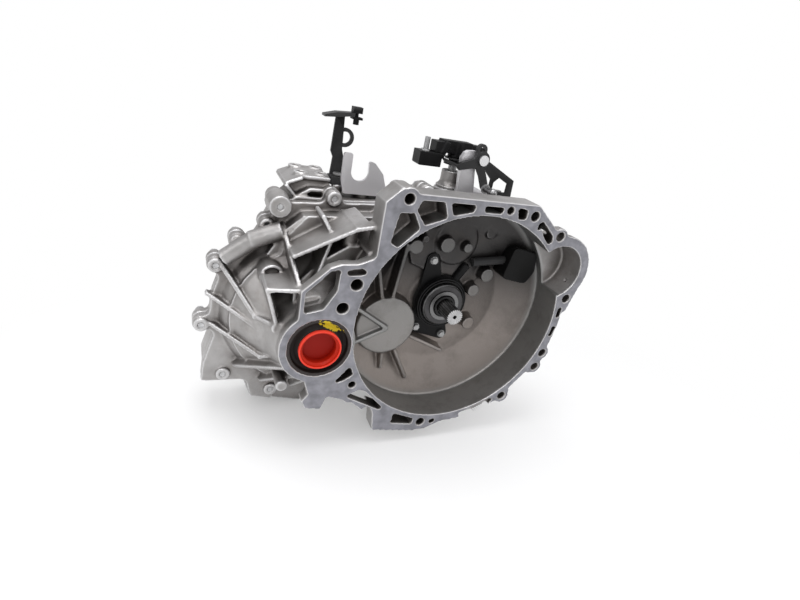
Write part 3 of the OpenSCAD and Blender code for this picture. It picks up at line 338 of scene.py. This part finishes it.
for name, voxel, passes in (
    ("clutch_housing", 1.6, 4), ("gear_case", 1.8, 4), ("rear_cover", 1.5, 3), ("shift_tower", 0.8, 3),
    ("shift_lever", 0.8, 5), ("lever_weight", 0.8, 5), ("pipe_boot", 1.0, 6),
):
    soften(NODES[name], voxel * MM, passes)


def round_edges(obj, width):
    """Breaks the sharp edges of a machined or pressed part."""
    bevel = obj.modifiers.new("edges", "BEVEL")
    bevel.width = width
    bevel.segments = 2
    bevel.limit_method = "ANGLE"
    bevel.angle_limit = math.radians(35)
    bevel.harden_normals = False


for name, width in (
    ("select_lever", 0.7), ("select_bracket", 0.7), ("guard_plate", 0.6), ("cable_bracket", 0.8),
    ("wiring_bracket", 0.6), ("wiring_clip", 0.6), ("case_bolts", 0.5), ("small_bolts", 0.4),
    ("slave_cylinder", 0.5), ("transport_cap", 0.6), ("lever_stud", 0.4), ("select_pin", 0.5),
    ("oil_plugs", 0.5), ("release_bearing", 0.3), ("diff_seals", 0.3),
):
    round_edges(NODES[name], width * MM)


# ---------- floor, light and camera ----------
def pale_floor():
    """A pale floor that keeps the shadow near the object and turns to plain white further out."""
    half = 6.0
    corners = [(-half, -half, 0), (half, -half, 0), (half, half, 0), (-half, half, 0)]
    mesh = bpy.data.meshes.new("floor")
    mesh.from_pydata(corners, [], [(0, 1, 2, 3)])
    floor = bpy.data.objects.new("floor", mesh)
    floor.location = (0, 0, CAD_BOX[0][2] - 1 * MM)
    bpy.context.scene.collection.objects.link(floor)
    mat, tree, shader, at = new_material("pale_floor")
    tone = mix(tree, noise(tree, at, 3.0), (0.86, 0.86, 0.86), (0.9, 0.9, 0.9))
    set_input(tree, shader, "Base Color", tone)
    set_input(tree, shader, "Roughness", 0.7)
    glow = tree.nodes.new("ShaderNodeEmission")
    glow.inputs[1].default_value = 1.0
    spread = tree.nodes.new("ShaderNodeVectorMath")
    spread.operation = "LENGTH"
    tree.links.new(at, spread.inputs[0])
    fade = tree.nodes.new("ShaderNodeMixShader")
    tree.links.new(ramp(tree, spread.outputs["Value"], 0.28, 0.75, 0.25, 1.0), fade.inputs[0])
    tree.links.new(shader.outputs[0], fade.inputs[1])
    tree.links.new(glow.outputs[0], fade.inputs[2])
    out = next(n for n in tree.nodes if n.type == "OUTPUT_MATERIAL")
    tree.links.new(fade.outputs[0], out.inputs[0])
    mesh.materials.append(mat)


def soft_sky():
    """Light from above, fading downwards, that the camera itself sees as white."""
    world = bpy.data.worlds.new("studio")
    bpy.context.scene.world = world
    world.use_nodes = True
    tree = world.node_tree
    tree.nodes.clear()
    out = tree.nodes.new("ShaderNodeOutputWorld")
    coord = tree.nodes.new("ShaderNodeTexCoord")
    height = split(tree, coord.outputs["Generated"])[2]
    sky = mix(tree, ramp(tree, height, 0.0, 0.9), (0.30, 0.295, 0.29), (0.95, 0.95, 0.97))
    light_path = tree.nodes.new("ShaderNodeLightPath")
    back = mix(tree, light_path.outputs["Is Camera Ray"], sky, (1.0, 1.0, 1.0))
    background = tree.nodes.new("ShaderNodeBackground")
    tree.links.new(back, background.inputs[0])
    background.inputs[1].default_value = 1.0
    tree.links.new(background.outputs[0], out.inputs[0])


def area_light(name, place, target, size, power):
    data = bpy.data.lights.new(name, "AREA")
    data.shape = "RECTANGLE"
    data.size, data.size_y = size
    data.energy = power
    lamp = bpy.data.objects.new(name, data)
    lamp.location = place
    lamp.rotation_euler = (Vector(target) - Vector(place)).to_track_quat("-Z", "Y").to_euler()
    bpy.context.scene.collection.objects.link(lamp)


def lamps():
    middle = (-0.05, 0.12, 0.0)
    bell_floor = (0.02, 0.05, -0.05)
    area_light("top_softbox", (-0.3, 0.1, 1.3), middle, (1.0, 0.8), 10)
    area_light("left_softbox", (-1.4, -0.2, 0.6), middle, (0.6, 0.9), 3.5)
    area_light("right_fill", (1.1, -0.9, 0.6), middle, (0.6, 0.8), 3)
    area_light("front_fill", (-0.5, -1.3, 0.7), bell_floor, (0.7, 0.5), 5)


def camera():
    """The photograph's camera: wide lens, close to the bell mouth, from the left and above."""
    right = Vector((0.9155, -0.3584, 0.1829)).normalized()
    back = Vector((-0.4023, -0.8175, 0.4120)).normalized()
    up = back.cross(right).normalized()
    right = up.cross(back).normalized()
    data = bpy.data.cameras.new("photo_camera")
    data.sensor_width = 36.0
    data.lens = 21.95
    data.clip_start = 0.01
    obj = bpy.data.objects.new("photo_camera", data)
    turn = Matrix((right, up, back)).transposed().to_4x4()
    obj.matrix_world = Matrix.Translation(Vector((-0.3628, -0.5246, 0.3040))) @ turn
    bpy.context.scene.collection.objects.link(obj)
    bpy.context.scene.camera = obj


pale_floor()
soft_sky()
lamps()
camera()
bpy.context.scene.view_settings.view_transform = "Standard"
